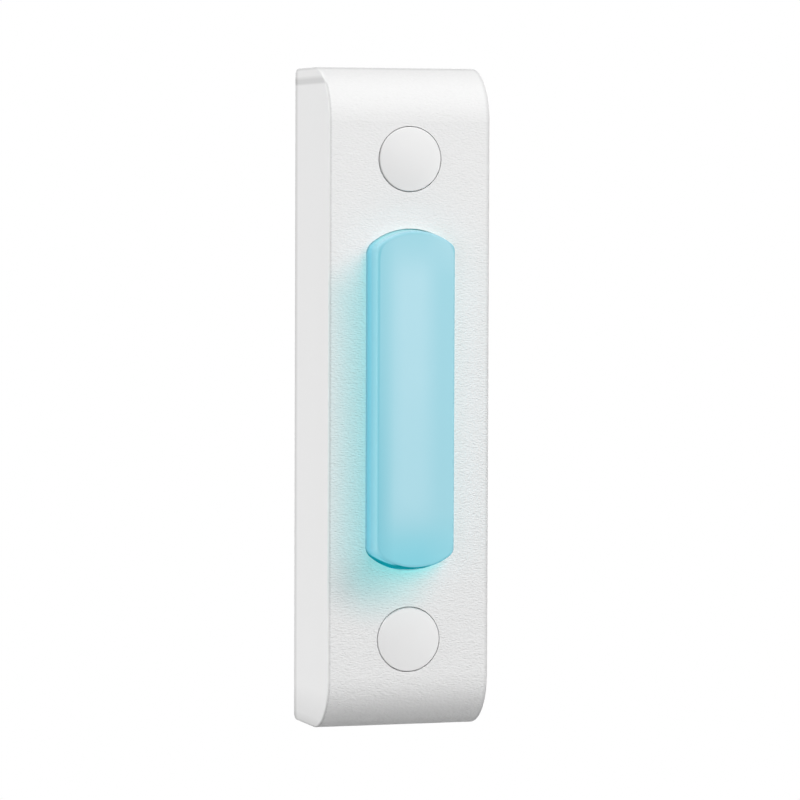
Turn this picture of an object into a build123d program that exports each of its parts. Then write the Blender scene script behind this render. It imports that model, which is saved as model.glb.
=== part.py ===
from build123d import *
import math
import os

# A wired, lighted doorbell push button: a moulded cover with a light bar button, a base that goes on
# the wall, and between them the lamp board with its leaf contact and wire terminals.
# Every piece is modelled lying on its back, in millimetres: X runs across the casing, Y up its height
# and Z out from the wall. Each piece is stood upright as it is written, so that +Z is then up, the
# button faces -Y and the wall plane is Y = 0.

# Light bar button
button_width = 11.86
button_length = 45.5
button_end_radius = 8.4
button_corner_radius = 1.8
button_proud = 2.9
button_side_draft = 0.5
button_end_draft = 0.24
button_face_rise = 0.1
button_edge_radius = 0.3
button_gap = 0.15
button_wall = 1.4
button_roof = 1.6
button_travel = 1.5
flange_width = 1.0
flange_thickness = 1.2
plunger_radius = 1.5
plunger_rib_thickness = 1.0
plunger_rib_depth = 2.0
plunger_gap = 0.05
least_corner_radius = 0.3

# Casing round the button
casing_depth = 16.3
face_margin = 5.18
screw_margin = 9.4
end_margin = 12.3
end_radius = 7.3
side_edge_radius = 0.3
back_corner_radius = 1.0
side_wall = 1.8
front_wall = 2.0

# Wall screw places and their caps
screw_hole_radius = 2.1
screw_shelf = 3.0
cap_recess_radius = 4.41
cap_recess_depth = 1.3
cap_gap = 0.1
cap_rim_proud = 0.08
cap_rim_radius = 0.15
cap_dome_rise = 0.2
cap_skirt_gap = 0.05
cap_skirt_inset = 0.45
cap_skirt_wall = 0.8
cap_skirt_length = 2.6
cap_slot_width = 1.2
tower_wall = 1.2
tower_web = 1.2

# Wall base
base_thickness = 2.0
base_gap = 0.15
base_corner_radius = 0.5
well_side_margin = 0.6
well_end_margin = 1.0
well_wall = 1.4
well_floor = 1.4
well_corner_radius = 0.8
solder_space = 2.2
hook_thickness = 1.1
hook_nose = 0.6
hook_nose_height = 1.6
hook_catch_height = 4.2
hook_gap = 0.15
hook_spacing = 1.2
cover_hook_width = 4.0
board_hook_width = 3.0
rib_thickness = 1.2
rib_height = 3.0

# Lamp board
board_thickness = 1.6
board_bearing = 0.5
board_end_margin = 4.5
board_corner_radius = 1.0
board_clearance = 1.0
board_fit = 0.1

# Return springs, the posts that they stand round and the cups that hold their tops
spring_end_margin = 4.75
spring_wire = 0.4
spring_radius = 1.8
spring_turns = 6
spring_wire_sides = 6
spring_gap = 0.2
post_shoulder_radius = 2.6
post_length = 4.0
cup_wall = 0.7
cup_depth = 3.3

# Contacts
contact_width = 4.0
contact_corner_radius = 0.5
fixed_contact_thickness = 0.4
fixed_contact_tail = 1.4
fixed_contact_reach = 6.4
contact_point_radius = 1.1
contact_point_height = 0.4
contact_tail_radius = 0.6
leaf_thickness = 0.25
leaf_tip_reach = 2.0
leaf_arm_length = 4.2
leaf_foot_length = 3.4
leaf_bend_radius = 0.8
dimple_radius = 0.7
dimple_depth = 0.3
rivet_radius = 0.8
rivet_head_radius = 1.4
rivet_head_height = 0.4
rivet_gap = 0.05
part_gap = 0.6

# Lamps and chips on the board
led_length = 3.5
led_width = 2.8
led_height = 1.9
led_lens_radius = 1.15
led_lens_depth = 0.3
led_corner_cut = 0.6
chip_offset = 4.0
chip_end_length = 0.5
chip_end_thickness = 0.08
resistor_length = 3.2
resistor_width = 1.6
resistor_height = 0.6
diode_length = 2.7
diode_width = 1.6
diode_height = 1.1

# Wire terminals in the back of the base
terminal_place = 8.5
terminal_length = 8.0
terminal_width = 9.0
terminal_thickness = 0.8
terminal_bend_radius = 0.8
terminal_tab_width = 3.0
terminal_tab_margin = 1.6
terminal_tab_stand = 0.4
terminal_screw_radius = 1.5
terminal_screw_reach = 1.4
terminal_head_radius = 3.0
terminal_head_height = 2.2
terminal_head_edge = 0.4
terminal_slot_width = 0.8
terminal_slot_depth = 1.0
terminal_gap = 0.1
clamp_side = 6.8
clamp_thickness = 0.8
clamp_corner_radius = 0.6

# Widths and lengths that follow from those above
slot_width = button_width + 2 * button_gap
casing_width = slot_width + 2 * face_margin
inner_width = casing_width - 2 * side_wall
base_width = inner_width - 2 * base_gap
well_block_width = base_width - 2 * well_side_margin
well_width = well_block_width - 2 * well_wall
board_width = well_width + 2 * board_bearing
terminal_tab_place = well_width / 2 - terminal_tab_margin
screw_spacing = button_length + 2 * screw_margin
casing_height = screw_spacing + 2 * end_margin
inner_height = casing_height - 2 * side_wall
base_height = inner_height - 2 * base_gap
spring_place = button_length / 2 - spring_end_margin
spring_outer_radius = spring_radius + spring_wire / 2
post_radius = spring_radius - spring_wire / 2 - spring_gap
cup_bore_radius = spring_outer_radius + spring_gap
board_length = 2 * (spring_place + board_end_margin)
led_place = spring_place - spring_outer_radius - part_gap - led_width / 2
leaf_foot_end = led_place - led_width / 2 - part_gap
leaf_rivet_place = leaf_foot_end - leaf_foot_length / 2
fixed_rivet_place = fixed_contact_reach - contact_width / 2 + contact_corner_radius
well_reach = max(terminal_place + terminal_length / 2, leaf_rivet_place + rivet_head_radius)
well_height = 2 * (well_reach + well_end_margin)
well_block_height = well_height + 2 * well_wall
board_hook_place = well_block_height / 2 + hook_spacing + board_hook_width / 2
cover_hook_place = board_hook_place + board_hook_width / 2 + hook_spacing + cover_hook_width / 2
tower_radius = cap_recess_radius + tower_wall
screw_head_radius = cap_recess_radius - cap_skirt_inset

# Depths out from the wall that follow from those above
inner_front = casing_depth - front_wall
flange_back = inner_front - flange_thickness
button_front = casing_depth + button_proud
button_ceiling = button_front - button_roof
board_front = flange_back - button_travel - board_clearance
board_back = board_front - board_thickness
well_front = board_back - solder_space
well_depth = well_front - well_floor
fixed_contact_front = board_front + fixed_contact_thickness
contact_point_front = fixed_contact_front + contact_point_height
leaf_back = contact_point_front + button_travel + dimple_depth
leaf_front = leaf_back + leaf_thickness
cap_seat = casing_depth - cap_recess_depth
shelf_front = base_thickness + screw_shelf
terminal_back = well_depth - terminal_thickness
clamp_back = terminal_back - clamp_thickness
hook_catch = base_thickness + hook_catch_height
hook_tip = hook_catch + hook_nose_height


def block(width, height, low, high, x=0, y=0):
    """A box centred on x, y, from depth low to depth high."""
    align = (Align.CENTER, Align.CENTER, Align.MIN)
    return Pos(x, y, low) * Box(width, height, high - low, align=align)


def rounded_block(width, height, corner, low, high, x=0, y=0):
    """A box with its four upright edges rounded."""
    return extrude(Pos(x, y, low) * RectangleRounded(width, height, corner), high - low)


def rod(radius, low, high, x=0, y=0):
    """A round bar, from depth low to depth high."""
    align = (Align.CENTER, Align.CENTER, Align.MIN)
    return Pos(x, y, low) * Cylinder(radius, high - low, align=align)


def round_ended_bar(width, height, depth, front_radius):
    """The casing's form: a bar whose two front corners, seen from the side, are quarter rounds."""
    profile = Rectangle(height, depth, align=(Align.CENTER, Align.MIN))
    profile = fillet(profile.vertices().group_by(Axis.Y)[-1], front_radius)
    return extrude(Plane.YZ * profile, width / 2, both=True)


def button_outline(side_grow=0, end_grow=0):
    """The button's outline, with straight sides, arched ends and softened corners, grown by a margin."""
    half_width = button_width / 2 + side_grow
    half_length = button_length / 2 + end_grow
    arch = button_end_radius + end_grow
    shoulder = half_length - arch + math.sqrt(arch**2 - half_width**2)
    outline = Line((-half_width, -shoulder), (-half_width, shoulder))
    outline += ThreePointArc((-half_width, shoulder), (0, half_length), (half_width, shoulder))
    outline += Line((half_width, shoulder), (half_width, -shoulder))
    outline += ThreePointArc((half_width, -shoulder), (0, -half_length), (-half_width, -shoulder))
    corner = max(button_corner_radius + side_grow, least_corner_radius)
    return fillet(make_face(outline).vertices(), corner)


def button_prism(grow, low, high):
    """A straight prism on the button's outline."""
    return extrude(Pos(0, 0, low) * button_outline(grow, grow), high - low)


def bent_strip(points, width, thickness, bend):
    """A metal strip of even thickness whose middle line runs through points in the XZ or YZ plane."""
    path = FilletPolyline(*points, radius=bend)
    start = Plane(path @ 0, x_dir=Vector(0, 0, 1).cross(path % 0), z_dir=path % 0)
    return sweep(start * Rectangle(width, thickness), path)


def front_cover():
    """The moulded casing: a shell with the button's slot, two screw towers and pockets for the hooks."""
    bar = round_ended_bar(casing_width, casing_height, casing_depth, end_radius)
    bar = fillet(bar.edges().filter_by(Axis.X).group_by(Axis.Z)[0], back_corner_radius)
    back_edges = bar.faces().sort_by(Axis.Z)[0].edges()
    side_edges = [e for f in bar.faces().filter_by(Axis.X) for e in f.edges()]
    shell = fillet([e for e in side_edges if e not in back_edges], side_edge_radius)
    shell -= round_ended_bar(inner_width, inner_height, inner_front, end_radius - front_wall)
    for y in (screw_spacing / 2, -screw_spacing / 2):
        shell += rod(tower_radius, base_thickness, inner_front, y=y)
        shell += block(inner_width, tower_web, base_thickness, inner_front, y=y)
        shell -= rod(cap_recess_radius, cap_seat, casing_depth, y=y)
        shell -= rod(screw_head_radius, shelf_front, cap_seat, y=y)
        shell -= rod(screw_hole_radius, base_thickness, shelf_front, y=y)
    shell -= button_prism(button_gap, inner_front, casing_depth)
    pocket_width = cover_hook_width + 2 * hook_gap
    for y in (cover_hook_place, -cover_hook_place):
        shell -= block(inner_width + 2 * hook_nose, pocket_width, hook_catch, hook_tip + hook_gap, y=y)
    return shell


def hook(width, face, nose_side, catch, y):
    """A snap hook that stands on the base: its face is at x = face and its nose points along nose_side."""
    tip = catch + hook_nose_height
    heel = face - nose_side * hook_thickness
    nose = face + nose_side * hook_nose
    shank = ((heel, tip), (heel, base_thickness), (face, base_thickness), (face, catch))
    profile = Polyline(*shank, (nose, catch), (face, tip), close=True)
    return extrude(Pos(0, y, 0) * (Plane.XZ * make_face(profile)), width / 2, both=True)


def back_plate():
    """The base on the wall, with the wire well in its back, the board's seat, spring posts and hooks."""
    base = rounded_block(base_width, base_height, base_corner_radius, 0, base_thickness)
    base += block(well_block_width, well_block_height, 0, board_back)
    base += block(rib_thickness, 2 * spring_place, base_thickness, base_thickness + rib_height)
    for y in (spring_place, -spring_place):
        base += rod(post_shoulder_radius, base_thickness, board_back, y=y)
        base += rod(post_radius, board_back, board_front + post_length, y=y)
    base -= rounded_block(well_width, well_height, well_corner_radius, 0, well_depth)
    base -= rounded_block(well_width, well_height, well_corner_radius, well_front, board_back)
    for turn in (1, -1):
        y = turn * terminal_place
        base -= rod(terminal_screw_radius + terminal_gap, well_depth, well_front, y=y)
        slot_start = terminal_tab_place - terminal_bend_radius - terminal_gap
        slot_end = terminal_tab_place + terminal_thickness / 2 + terminal_gap
        slot_middle = turn * (slot_start + slot_end) / 2
        slot_length = terminal_tab_width + 2 * terminal_gap
        base -= block(slot_end - slot_start, slot_length, well_depth, well_front, slot_middle, y)
        base -= rod(screw_hole_radius, 0, base_thickness, y=turn * screw_spacing / 2)
        for side in (1, -1):
            wall_face = side * (inner_width / 2 - hook_gap)
            base += hook(cover_hook_width, wall_face, side, hook_catch, turn * cover_hook_place)
            board_face = side * (board_width / 2 + board_fit)
            base += hook(board_hook_width, board_face, -side, board_front, turn * board_hook_place)
    return base


def screw_cap(y):
    """A domed cap that covers a wall screw, with a slotted skirt that grips the bore under its recess."""
    radius = cap_recess_radius - cap_gap
    dome_radius = (radius**2 + cap_dome_rise**2) / (2 * cap_dome_rise)
    dome_front = casing_depth + cap_rim_proud + cap_dome_rise
    ball = Pos(0, 0, dome_front - dome_radius) * Rot(90, 0, 0) * Sphere(dome_radius)
    cap = rod(radius, cap_seat, dome_front) & ball
    rim = cap.faces().filter_by(GeomType.CYLINDER)[0].edges().filter_by(GeomType.CIRCLE)
    cap = fillet(rim.sort_by(Axis.Z)[-1], cap_rim_radius)
    skirt_radius = screw_head_radius - cap_skirt_gap
    skirt_back = cap_seat - cap_skirt_length
    skirt = rod(skirt_radius, skirt_back, cap_seat)
    skirt -= rod(skirt_radius - cap_skirt_wall, skirt_back, cap_seat)
    skirt -= block(2 * skirt_radius, cap_slot_width, skirt_back, cap_seat)
    skirt -= block(cap_slot_width, 2 * skirt_radius, skirt_back, cap_seat)
    return Pos(0, y, 0) * (cap + skirt)


def push_button():
    """The translucent button: a hollow bar with drafted walls, a rear flange, a plunger and spring cups."""
    body = button_prism(flange_width, flange_back, inner_front)
    body += button_prism(0, inner_front, casing_depth)
    foot = Pos(0, 0, casing_depth) * button_outline()
    face = Pos(0, button_face_rise, button_front) * button_outline(-button_side_draft, -button_end_draft)
    crown = loft([foot, face], ruled=True)
    body += fillet(crown.faces().sort_by(Axis.Z)[-1].edges(), button_edge_radius)
    body -= button_prism(-button_wall, flange_back, button_ceiling)
    plunger_back = leaf_front + plunger_gap
    body += rod(plunger_radius, plunger_back, button_ceiling)
    rib_width = button_width - button_wall
    body += block(rib_width, plunger_rib_thickness, button_ceiling - plunger_rib_depth, button_ceiling)
    for y in (spring_place, -spring_place):
        cup_back = button_ceiling - cup_depth
        body += rod(cup_bore_radius + cup_wall, cup_back, button_ceiling, y=y)
        body -= rod(cup_bore_radius, cup_back, button_ceiling, y=y)
    return body


def return_spring(y):
    """A coil spring between the board and the button, with its two ends ground flat."""
    length = button_ceiling - board_front
    pitch = length / spring_turns
    path = Pos(0, y, board_front) * Helix(pitch, length, spring_radius)
    start = Plane(path @ 0, x_dir=(1, 0, 0), z_dir=path % 0)
    coil = sweep(start * RegularPolygon(spring_wire / 2, spring_wire_sides), path, is_frenet=True)
    return coil & rod(spring_outer_radius + spring_gap, board_front, button_ceiling, y=y)


def circuit_board():
    """The lamp board, with holes for the spring posts and rivets and slots for the terminals' tabs."""
    board = rounded_block(board_width, board_length, board_corner_radius, board_back, board_front)
    rivet_bore = rivet_radius + rivet_gap
    for y in (fixed_rivet_place, -leaf_rivet_place):
        board -= rod(rivet_bore, board_back, board_front, y=y)
    board -= rod(contact_tail_radius + rivet_gap, board_back, board_front)
    tab_slot_width = terminal_thickness + 2 * board_fit
    tab_slot_length = terminal_tab_width + 2 * board_fit
    for turn in (1, -1):
        x = turn * terminal_tab_place
        board -= rod(post_radius + board_fit, board_back, board_front, y=turn * spring_place)
        board -= block(tab_slot_width, tab_slot_length, board_back, board_front, x, turn * terminal_place)
    return board


def moving_contact_leaf():
    """The sprung leaf that the plunger pushes down, with a dimple that meets the fixed contact."""
    foot = board_front + leaf_thickness / 2
    arm = leaf_back + leaf_thickness / 2
    ramp_start = leaf_foot_length - leaf_foot_end
    arm_start = leaf_tip_reach - leaf_arm_length
    foot_run = ((0, -leaf_foot_end, foot), (0, ramp_start, foot))
    arm_run = ((0, arm_start, arm), (0, leaf_tip_reach, arm))
    leaf = bent_strip(foot_run + arm_run, contact_width, leaf_thickness, leaf_bend_radius)
    ball_radius = (dimple_radius**2 + dimple_depth**2) / (2 * dimple_depth)
    ball = Pos(0, 0, leaf_back - dimple_depth + ball_radius) * Sphere(ball_radius)
    leaf += ball & rod(dimple_radius, leaf_back - dimple_depth, leaf_back)
    leaf -= rod(rivet_radius + rivet_gap, board_front, leaf_back, y=-leaf_rivet_place)
    return leaf


def fixed_contact():
    """The flat strip under the leaf that the dimple closes on."""
    length = fixed_contact_tail + fixed_contact_reach
    middle = (fixed_contact_reach - fixed_contact_tail) / 2
    strip = rounded_block(
        contact_width, length, contact_corner_radius, board_front, fixed_contact_front, y=middle
    )
    strip -= rod(rivet_radius + rivet_gap, board_front, fixed_contact_front, y=fixed_rivet_place)
    strip -= rod(contact_tail_radius + rivet_gap, board_front, fixed_contact_front)
    return strip


def fixed_contact_point():
    """The contact rivet under the dimple, with its tail through the strip and the board."""
    point = rod(contact_point_radius, fixed_contact_front, contact_point_front)
    return point + rod(contact_tail_radius, board_back - rivet_head_height, fixed_contact_front)


def contact_rivet(y, seat):
    """A rivet that holds a contact strip to the board: seat is the front of that strip."""
    rivet = rod(rivet_radius, board_back - rivet_head_height, seat, y=y)
    rivet += rod(rivet_head_radius, seat, seat + rivet_head_height, y=y)
    return rivet + rod(rivet_head_radius, board_back - rivet_head_height, board_back, y=y)


def led(y):
    """A small surface lamp with a round lens well and one cut corner."""
    lamp = block(led_length, led_width, board_front, board_front + led_height, y=y)
    corner = lamp.edges().filter_by(Axis.Z).sort_by(lambda e: e.center().X + e.center().Y)[-1]
    lamp = chamfer(corner, led_corner_cut)
    lamp_front = board_front + led_height
    return lamp - rod(led_lens_radius, lamp_front - led_lens_depth, lamp_front, y=y)


def chip(length, width, height, x):
    """A chip on the back of the board: a body with a metal end on each side."""
    low = board_back - height
    body = block(width - 2 * chip_end_thickness, length, low + chip_end_thickness, board_back, x)
    for end in (1, -1):
        body += block(width, chip_end_length, low, board_back, x, end * (length - chip_end_length) / 2)
    return body


def terminal_strip():
    """The upper wire terminal: a plate in the well with a tab that bends forward through the board."""
    middle = (terminal_back + well_depth) / 2
    tab_front = board_front + terminal_tab_stand
    points = ((0, 0, middle), (terminal_tab_place, 0, middle), (terminal_tab_place, 0, tab_front))
    tab = bent_strip(points, terminal_tab_width, terminal_thickness, terminal_bend_radius)
    plate = block(terminal_width, terminal_length, terminal_back, well_depth)
    hole = rod(terminal_screw_radius + terminal_gap / 2, terminal_back, well_depth)
    return Pos(0, terminal_place, 0) * (plate + tab - hole)


def wire_clamp():
    """The upper clamp plate, which holds the bare wire on the terminal."""
    plate = rounded_block(clamp_side, clamp_side, clamp_corner_radius, clamp_back, terminal_back)
    plate -= rod(terminal_screw_radius + terminal_gap, clamp_back, terminal_back)
    return Pos(0, terminal_place, 0) * plate


def terminal_screw():
    """The upper terminal screw, with its slotted head towards the wall."""
    head_back = clamp_back - terminal_head_height
    head = rod(terminal_head_radius, head_back, clamp_back)
    head = fillet(head.edges().sort_by(Axis.Z)[0], terminal_head_edge)
    head -= block(2 * terminal_head_radius, terminal_slot_width, head_back, head_back + terminal_slot_depth)
    screw = head + rod(terminal_screw_radius, clamp_back, well_front + terminal_screw_reach)
    return Pos(0, terminal_place, 0) * screw


half_turn = Rot(0, 0, 180)
pieces = {
    "front_cover": front_cover(),
    "back_plate": back_plate(),
    "push_button": push_button(),
    "screw_cap_upper": screw_cap(screw_spacing / 2),
    "screw_cap_lower": screw_cap(-screw_spacing / 2),
    "return_spring_upper": return_spring(spring_place),
    "return_spring_lower": return_spring(-spring_place),
    "circuit_board": circuit_board(),
    "moving_contact_leaf": moving_contact_leaf(),
    "fixed_contact": fixed_contact(),
    "fixed_contact_point": fixed_contact_point(),
    "contact_rivets": contact_rivet(fixed_rivet_place, fixed_contact_front)
    + contact_rivet(-leaf_rivet_place, board_front + leaf_thickness),
    "led_upper": led(led_place),
    "led_lower": led(-led_place),
    "series_resistor": chip(resistor_length, resistor_width, resistor_height, -chip_offset),
    "rectifier_diode": chip(diode_length, diode_width, diode_height, chip_offset),
    "terminal_strip_upper": terminal_strip(),
    "terminal_strip_lower": half_turn * terminal_strip(),
    "wire_clamp_upper": wire_clamp(),
    "wire_clamp_lower": half_turn * wire_clamp(),
    "terminal_screws": terminal_screw() + half_turn * terminal_screw(),
}

stand_up = Rot(90, 0, 0)
os.makedirs("parts", exist_ok=True)
for name, piece in pieces.items():
    export_step(stand_up * piece, f"parts/{name}.step")
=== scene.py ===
# %% [markdown]
# A lighted doorbell push button, dressed for a studio picture. The solids come from the CAD model as a
# fixed frame: every piece is already in its place, in metres, with +Z up, the wall plane at Y = 0 and the
# button towards -Y. This lesson gives the pieces their finishes, and makes anew only the pieces that change
# shape when the button is pressed: the two return springs and the contact leaf.

# %% Load the frame and keep its box
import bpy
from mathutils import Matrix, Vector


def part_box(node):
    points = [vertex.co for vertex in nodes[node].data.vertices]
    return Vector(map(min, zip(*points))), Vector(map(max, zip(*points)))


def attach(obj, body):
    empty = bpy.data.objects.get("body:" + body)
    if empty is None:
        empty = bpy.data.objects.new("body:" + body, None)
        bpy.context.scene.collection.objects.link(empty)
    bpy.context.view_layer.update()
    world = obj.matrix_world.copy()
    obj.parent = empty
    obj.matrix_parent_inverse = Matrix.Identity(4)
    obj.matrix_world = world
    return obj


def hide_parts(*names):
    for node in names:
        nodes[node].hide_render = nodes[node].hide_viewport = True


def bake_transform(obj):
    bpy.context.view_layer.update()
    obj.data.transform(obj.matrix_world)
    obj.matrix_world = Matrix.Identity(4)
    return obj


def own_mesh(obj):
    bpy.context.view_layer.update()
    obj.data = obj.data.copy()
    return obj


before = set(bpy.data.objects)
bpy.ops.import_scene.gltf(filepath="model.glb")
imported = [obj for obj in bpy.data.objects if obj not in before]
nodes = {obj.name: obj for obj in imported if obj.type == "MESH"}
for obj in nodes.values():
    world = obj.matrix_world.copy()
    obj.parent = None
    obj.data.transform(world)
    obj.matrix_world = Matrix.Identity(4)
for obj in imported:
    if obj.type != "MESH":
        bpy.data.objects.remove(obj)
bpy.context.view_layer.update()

import math
import bmesh
import bpy
from mathutils import Matrix, Vector

# %% [markdown]
# The picture shows the button from a little to its left and slightly above, through a long lens, so its
# upright edges stay almost parallel. Such a view could be found by eye, but small errors of angle show at
# once on a plain box. So the angles, the distance and the lens were fitted to the casing's outline, and are
# only written in here.

# %% Camera
MM = 0.001
yaw, pitch, roll = (math.radians(angle) for angle in (-17.652, 2.822, 0.202))
aim = Vector((1.354, -8.0, -0.430)) * MM
camera_distance = 582.43 * MM
LENS, SENSOR_WIDTH = 193.15, 36
NEAREST_SEEN = 10.0 * MM

backward = Vector((math.sin(yaw) * math.cos(pitch), -math.cos(yaw) * math.cos(pitch), math.sin(pitch)))
level = Vector((math.cos(yaw), math.sin(yaw), 0))
upright = backward.cross(level)
across = level * math.cos(roll) + upright * math.sin(roll)
upwards = upright * math.cos(roll) - level * math.sin(roll)

scene = bpy.context.scene
camera = bpy.data.objects.new("camera", bpy.data.cameras.new("camera"))
scene.collection.objects.link(camera)
turn = Matrix((across, upwards, backward)).transposed().to_4x4()
camera.matrix_world = Matrix.Translation(aim + backward * camera_distance) @ turn
camera.data.sensor_fit = "HORIZONTAL"
camera.data.sensor_width = SENSOR_WIDTH
camera.data.lens = LENS
camera.data.clip_start = NEAREST_SEEN
scene.camera = camera
scene.view_settings.view_transform = "Standard"
print("camera at", [round(c, 4) for c in camera.location])

# %% [markdown]
# A material is a small network of nodes, and a world is one too. One helper adds a node, sets it and links
# it: a node given as an input stands for its first output. Another turns the hex colours that a colour
# picker shows into the linear numbers that the renderer works in. A third starts a finish, with the numbers
# that are the same all over the surface.

# %% Helpers for colours and nodes
def linear(hex_colour):
    shares = [int(hex_colour[i:i + 2], 16) / 255 for i in (1, 3, 5)]
    return [s / 12.92 if s <= 0.04045 else ((s + 0.055) / 1.055) ** 2.4 for s in shares] + [1.0]


def add_node(tree, kind, inputs=None, **settings):
    node = tree.nodes.new(kind)
    for name, value in settings.items():
        setattr(node, name, value)
    for name, value in (inputs or {}).items():
        if isinstance(value, bpy.types.Node):
            value = next(socket for socket in value.outputs if socket.enabled)
        if isinstance(value, bpy.types.NodeSocket):
            tree.links.new(value, node.inputs[name])
        else:
            node.inputs[name].default_value = value
    return node


def new_finish(name, **constants):
    material = bpy.data.materials.new(name)
    material.use_nodes = True
    tree = material.node_tree
    shader = tree.nodes["Principled BSDF"]
    for socket, value in constants.items():
        shader.inputs[socket.replace("_", " ")].default_value = value
    place = add_node(tree, "ShaderNodeTexCoord").outputs["Object"]
    return material, tree, shader, place


BLACK, WHITE = linear("#000000"), linear("#FFFFFF")
print("white", [round(v, 3) for v in WHITE])

# %% [markdown]
# The light is that of a small white studio. One large soft lamp hangs above and before the button, a little
# to the right, and one stands in front of it. Two more light the left side and the back, and the white room
# gives the rest. Each lamp's power is worked out from how much light it should lay on a surface that faces
# it, where 1 is the level at which a colour renders as it is written.

# %% Lamps
middle = Vector((0, -0.010, 0))


def soft_lamp(name, direction, level_of_light, distance=0.90, size=0.60):
    towards = Vector(direction).normalized()
    lamp = bpy.data.lights.new(name, "AREA")
    lamp.shape = "DISK"
    lamp.size = size
    lamp.energy = level_of_light * (math.pi * distance) ** 2
    holder = bpy.data.objects.new(name, lamp)
    scene.collection.objects.link(holder)
    aimed = towards.to_track_quat("Z", "Y").to_matrix().to_4x4()
    holder.matrix_world = Matrix.Translation(middle + towards * distance) @ aimed
    print(name, round(lamp.energy, 2), "W")


soft_lamp("key_lamp", (0.20, -0.55, 0.81), 0.403)
soft_lamp("front_lamp", (0.15, -0.90, 0.40), 0.650)
soft_lamp("side_lamp", (-0.97, 0.08, 0.08), 0.790)
soft_lamp("back_lamp", (0.60, 0.80, 0.10), 0.85, size=1.20)

# %% [markdown]
# The room itself is the world: dim and even for the surfaces that it lights, and plain white for what looks
# straight at it, which gives the white backdrop without any more light on the object.

# %% World
ROOM_LIGHT, BACKDROP = 0.10, 1.0
world = bpy.data.worlds.new("white_studio")
scene.world = world
world.use_nodes = True
sky = world.node_tree
sky.nodes.clear()
lighting = add_node(sky, "ShaderNodeBackground", {"Color": WHITE, "Strength": ROOM_LIGHT})
backdrop = add_node(sky, "ShaderNodeBackground", {"Color": WHITE, "Strength": BACKDROP})
path = add_node(sky, "ShaderNodeLightPath")
seen = path.outputs["Is Camera Ray"]
for ray_kind in ("Is Glossy Ray", "Is Transmission Ray"):
    seen = add_node(sky, "ShaderNodeMath", {0: seen, 1: path.outputs[ray_kind]}, operation="MAXIMUM")
mixed = add_node(sky, "ShaderNodeMixShader", {0: seen, 1: lighting, 2: backdrop})
add_node(sky, "ShaderNodeOutputWorld", {"Surface": mixed})
print("room light", ROOM_LIGHT)

# %% [markdown]
# A wall button has no floor of its own. A round of white card lies under it, low enough to stay out of the
# picture.

# %% Floor
FLOOR_RADIUS, FLOOR_HEIGHT = 0.25, -0.30
bm = bmesh.new()
bmesh.ops.create_circle(
    bm, cap_ends=True, radius=FLOOR_RADIUS, segments=96, matrix=Matrix.Translation((0, 0, FLOOR_HEIGHT)))
floor_mesh = bpy.data.meshes.new("floor")
bm.to_mesh(floor_mesh)
bm.free()
floor = bpy.data.objects.new("floor", floor_mesh)
scene.collection.objects.link(floor)

FIBRE_CLUMP = 3 * MM
card, tree, shader, place = new_finish("matt_white_card", Roughness=0.9)
fibres = add_node(tree, "ShaderNodeTexNoise", {"Vector": place, "Scale": 1 / FIBRE_CLUMP, "Detail": 4.0})
tone = add_node(tree, "ShaderNodeMix", {
    "Factor": fibres.outputs["Fac"], "A": linear("#F4F4F4"), "B": linear("#FAFAFA")}, data_type="RGBA")
tree.links.new(tone.outputs["Result"], shader.inputs["Base Color"])
floor_mesh.materials.append(card)
print("floor triangles", len(floor_mesh.vertices) - 2)

# %% [markdown]
# The casing is ABS, injection moulded in a white that leans neither warm nor cool. Its front and its
# rounded ends come from a spark-eroded tool, which leaves a fine pebble that hides finger marks. The two
# long sides come from a polished part of the tool, because they slide past it when the piece is pushed out.
# The pebble could be modelled, but at a few hundredths of a millimetre high it is bump: noise for its
# depth, and soft cells for its grains, with a trace of shade in the valleys. Real grains are nearer a tenth
# of a millimetre. Here they are drawn coarser to show, wider than high, and flatter on the upper part of
# the casing.

# %% Casing: its pebble
lowest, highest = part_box("front_cover")
half_width = highest.x
GRAIN_WIDTH, GRAIN_HEIGHT, PEBBLE_DEPTH = 0.42 * MM, 0.19 * MM, 0.06 * MM
PEBBLE_STOPS, POLISH_STARTS = 0.25 * MM, 0.05 * MM
DEEP_BELOW, FLAT_ABOVE = 5.0 * MM, 28.0 * MM

casing, tree, shader, place = new_finish("abs_white_spark_textured", IOR=1.53, Specular_IOR_Level=0.10)
spot = add_node(tree, "ShaderNodeSeparateXYZ", {"Vector": place})
x, y, z = (spot.outputs[axis] for axis in "XYZ")
side = add_node(tree, "ShaderNodeMath", {0: x}, operation="ABSOLUTE")
textured = add_node(tree, "ShaderNodeMapRange", {
    "Value": side, "From Min": half_width - PEBBLE_STOPS, "From Max": half_width - POLISH_STARTS,
    "To Min": 1.0, "To Max": 0.0})
flatter_above = add_node(tree, "ShaderNodeMapRange", {
    "Value": z, "From Min": DEEP_BELOW, "From Max": FLAT_ABOVE, "To Min": 0.95, "To Max": 0.55})
grain_place = add_node(tree, "ShaderNodeVectorMath", {
    0: place, 1: (1 / GRAIN_WIDTH, 1 / GRAIN_WIDTH, 1 / GRAIN_HEIGHT)}, operation="MULTIPLY")
depth = add_node(tree, "ShaderNodeTexNoise", {"Vector": grain_place, "Scale": 1.0, "Detail": 1.0})
grains = add_node(tree, "ShaderNodeTexVoronoi", {
    "Vector": grain_place, "Scale": 1.0, "Smoothness": 0.6}, feature="SMOOTH_F1")
pebble = add_node(tree, "ShaderNodeMath", {
    0: depth.outputs["Fac"], 1: grains.outputs["Distance"]}, operation="SUBTRACT")
for share in (textured, flatter_above):
    pebble = add_node(tree, "ShaderNodeMath", {0: pebble, 1: share}, operation="MULTIPLY")
bump = add_node(tree, "ShaderNodeBump", {"Height": pebble, "Strength": 1.0, "Distance": PEBBLE_DEPTH})
tree.links.new(bump.outputs["Normal"], shader.inputs["Normal"])
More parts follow.
